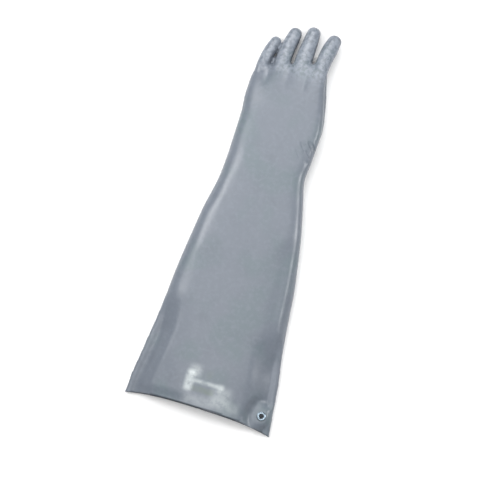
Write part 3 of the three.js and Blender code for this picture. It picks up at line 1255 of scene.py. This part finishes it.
@dataclass
class TieEyelet:
    """Pressed metal eyelet, the washer that it is clinched over, and the rubber patch between them."""

    rubber: Material
    metal: Material
    tie: TiePlace
    gap: float = 0.35
    steps: int = 64
    hole_radius: float = 3.4
    barrel_radius: float = 4.1
    flange_radius: float = 7.5
    flange_thickness: float = 1.2
    flare_radius: float = 5.8
    flare_thickness: float = 0.5
    washer_radius: float = 7.0
    washer_thickness: float = 0.5
    slope_share: float = 0.45
    rim_bevel: float = 1.2
    lip_width: float = 0.4
    lip_drop: float = 0.7
    patch_sunk: float = 0.3
    patch_slope: float = 1.0
    merge: float = 0.001
    sharp_degrees: float = 25.0
    round_offs: tuple[float, float, float] = (0.16, 0.12, 0.3)

    def turned(
        self, profile: Sequence[Pair], name: str, material: Material, round_off: float
    ) -> Piece:
        """Spins a closed profile about the eyelet's upright axis and rounds its edges.

        Args:
            profile: Radius and height above the pad's middle, round the section.
            name: The piece's name.
            material: Its finish.
            round_off: Width of the rounded edges.

        Returns:
            The piece.
        """
        bm = bmesh.new()
        verts = [bm.verts.new((self.tie.x + r, self.tie.y, self.tie.pad_middle + z)) for r, z in profile]
        edges = [bm.edges.new((a, b)) for a, b in zip(verts, verts[1:] + verts[:1])]
        bmesh.ops.spin(
            bm,
            geom=verts + edges,
            cent=Vector((self.tie.x, self.tie.y, 0)),
            axis=Vector((0, 0, 1)),
            angle=math.tau,
            steps=self.steps,
            use_merge=True,
        )
        bmesh.ops.remove_doubles(bm, verts=bm.verts, dist=self.merge)
        limit = math.radians(self.sharp_degrees)
        sharp = [edge for edge in bm.edges if edge.is_manifold and edge.calc_face_angle(0) > limit]
        bmesh.ops.bevel(
            bm,
            geom=sharp,
            offset=round_off,
            affect="EDGES",
            segments=3,
            profile=0.5,
            material=-1,
            clamp_overlap=True,
        )
        bmesh.ops.recalc_face_normals(bm, faces=bm.faces)
        return finish_mesh(bm, name, material)

    def eyelet(self) -> Piece:
        """Flange with a rolled rim, barrel, and the flare under the washer.

        Returns:
            The eyelet.
        """
        face = self.tie.pad_half + self.gap
        top = face + self.flange_thickness
        clinch = -(face + self.washer_thickness + self.gap)
        foot = clinch - self.flare_thickness
        slope = self.slope_share * self.flange_thickness
        profile = [
            (self.hole_radius, foot),
            (self.flare_radius, foot),
            (self.flare_radius, clinch),
            (self.barrel_radius, clinch),
            (self.barrel_radius, face),
            (self.flange_radius, face),
            (self.flange_radius, face + slope),
            (self.flange_radius - self.rim_bevel, top),
            (self.barrel_radius + self.lip_width, top),
            (self.hole_radius, top - self.lip_drop),
        ]
        return self.turned(profile, "eyelet_pressing", self.metal, self.round_offs[0])

    def washer(self) -> Piece:
        """Flat ring inside the sleeve.

        Returns:
            The washer.
        """
        top = -(self.tie.pad_half + self.gap)
        bottom = top - self.washer_thickness
        bore = self.barrel_radius + self.gap
        profile = [(bore, bottom), (self.washer_radius, bottom), (self.washer_radius, top), (bore, top)]
        return self.turned(profile, "eyelet_backing_ring", self.metal, self.round_offs[1])

    def patch(self) -> Piece:
        """Round rubber patch bonded inside the wall, under the flange.

        Returns:
            The patch.
        """
        low = -self.tie.pad_half
        high = self.tie.pad_half - self.patch_sunk
        profile = [
            (self.tie.hole_radius, low),
            (self.tie.pad_radius, low),
            (self.tie.pad_radius, high - self.patch_slope),
            (self.tie.hole_radius, high),
        ]
        return self.turned(profile, "eyelet_patch", self.rubber, self.round_offs[2])


@dataclass
class Studio:
    """Camera straight above, white board, and soft light from overhead, three sides and all round."""

    floor: Material
    centre: Pair = (10.0, -47.0)
    roll_degrees: float = 15.9
    field_mm: float = 810.0
    lens: float = 200.0
    sensor: float = 36.0
    focus_height: float = 20.0
    clip_end: float = 50.0
    floor_size: float = 8.0
    tent_strength: float = 0.14

    def build(self) -> None:
        """Adds the floor, the camera, the lights and the surroundings."""
        self.add_floor()
        self.add_camera()
        self.add_lights()
        self.add_surroundings()

    def add_floor(self) -> None:
        """Adds the board that the glove lies on."""
        bm = bmesh.new()
        bmesh.ops.create_grid(bm, x_segments=1, y_segments=1, size=self.floor_size / 2)
        mesh = bpy.data.meshes.new("white_board")
        bm.to_mesh(mesh)
        bm.free()
        mesh.materials.append(self.floor)
        board = bpy.data.objects.new("white_board", mesh)
        bpy.context.scene.collection.objects.link(board)

    def add_camera(self) -> None:
        """Adds the camera, which looks straight down."""
        data = bpy.data.cameras.new("camera")
        data.lens = self.lens
        data.sensor_width = self.sensor
        data.clip_end = self.clip_end
        camera = bpy.data.objects.new("camera", data)
        centre = Vector((*self.centre, self.focus_height)) + FRAME_SHIFT
        distance = self.lens / self.sensor * self.field_mm
        camera.location = (centre + Vector((0, 0, distance))) * MM
        camera.rotation_euler = (0.0, 0.0, math.radians(self.roll_degrees))
        bpy.context.scene.collection.objects.link(camera)
        bpy.context.scene.camera = camera

    def add_lights(self) -> None:
        """Adds a large soft box overhead and weak ones beyond the fingers and at both sides."""
        turn = Matrix.Rotation(math.radians(self.roll_degrees), 4, "Z")
        boxes = [
            # name, place in the picture's own axes in metres, size, power in watts
            ("overhead_box", Vector((0.0, 0.2, 5.6)), (5.6, 4.7), 218.0),
            ("finger_box", Vector((0.1, 0.99, 1.1)), (0.6, 0.55), 8.4),
            ("left_box", Vector((-0.9, 0.36, 1.0)), (0.6, 0.5), 10.6),
            ("right_box", Vector((1.1, -0.24, 0.75)), (0.35, 0.3), 6.4),
        ]
        for name, place, (wide, high), power in boxes:
            data = bpy.data.lights.new(name, "AREA")
            data.shape = "RECTANGLE"
            data.size = wide
            data.size_y = high
            data.energy = power
            light = bpy.data.objects.new(name, data)
            light.location = turn @ place
            light.rotation_euler = (-light.location).to_track_quat("-Z", "Y").to_euler()
            bpy.context.scene.collection.objects.link(light)

    def add_surroundings(self) -> None:
        """Adds the even white light of a light tent."""
        world = bpy.data.worlds.new("light_tent")
        world.use_nodes = True
        world.node_tree.nodes.clear()
        inputs = {"Color": linear("#FFFFFF"), "Strength": self.tent_strength}
        light = add_node(world.node_tree, "ShaderNodeBackground", None, inputs).outputs["Background"]
        add_node(world.node_tree, "ShaderNodeOutputWorld", None, {"Surface": light})
        bpy.context.scene.world = world
        bpy.context.scene.view_settings.view_transform = "Standard"


def carry(piece: Piece, nodes: Sequence[str] = ()) -> None:
    """Puts a piece on the glove's body, hides the solids that it stands for and logs its face count.

    Args:
        piece: The finished piece.
        nodes: CAD nodes that it replaces.
    """
    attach(piece, ROOT)
    if nodes:
        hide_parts(*nodes)
    log.info("%s: %d faces", piece.name, len(piece.data.polygons))


def main() -> None:
    """Builds the glove's skin, its eyelet and the studio."""
    logging.basicConfig(level=logging.INFO)
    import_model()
    rubber = DippedNeoprene().build()
    metal = NickelPlate().build()
    tie = TiePlace()
    carry(GloveSkin(rubber, tie).build(), ["glove_shell"])
    hardware = TieEyelet(rubber, metal, tie)
    carry(hardware.eyelet(), ["eyelet"])
    carry(hardware.washer(), ["eyelet_washer"])
    carry(hardware.patch())
    Studio(PaleFloor().build()).build()


if __name__ == "__main__":
    main()
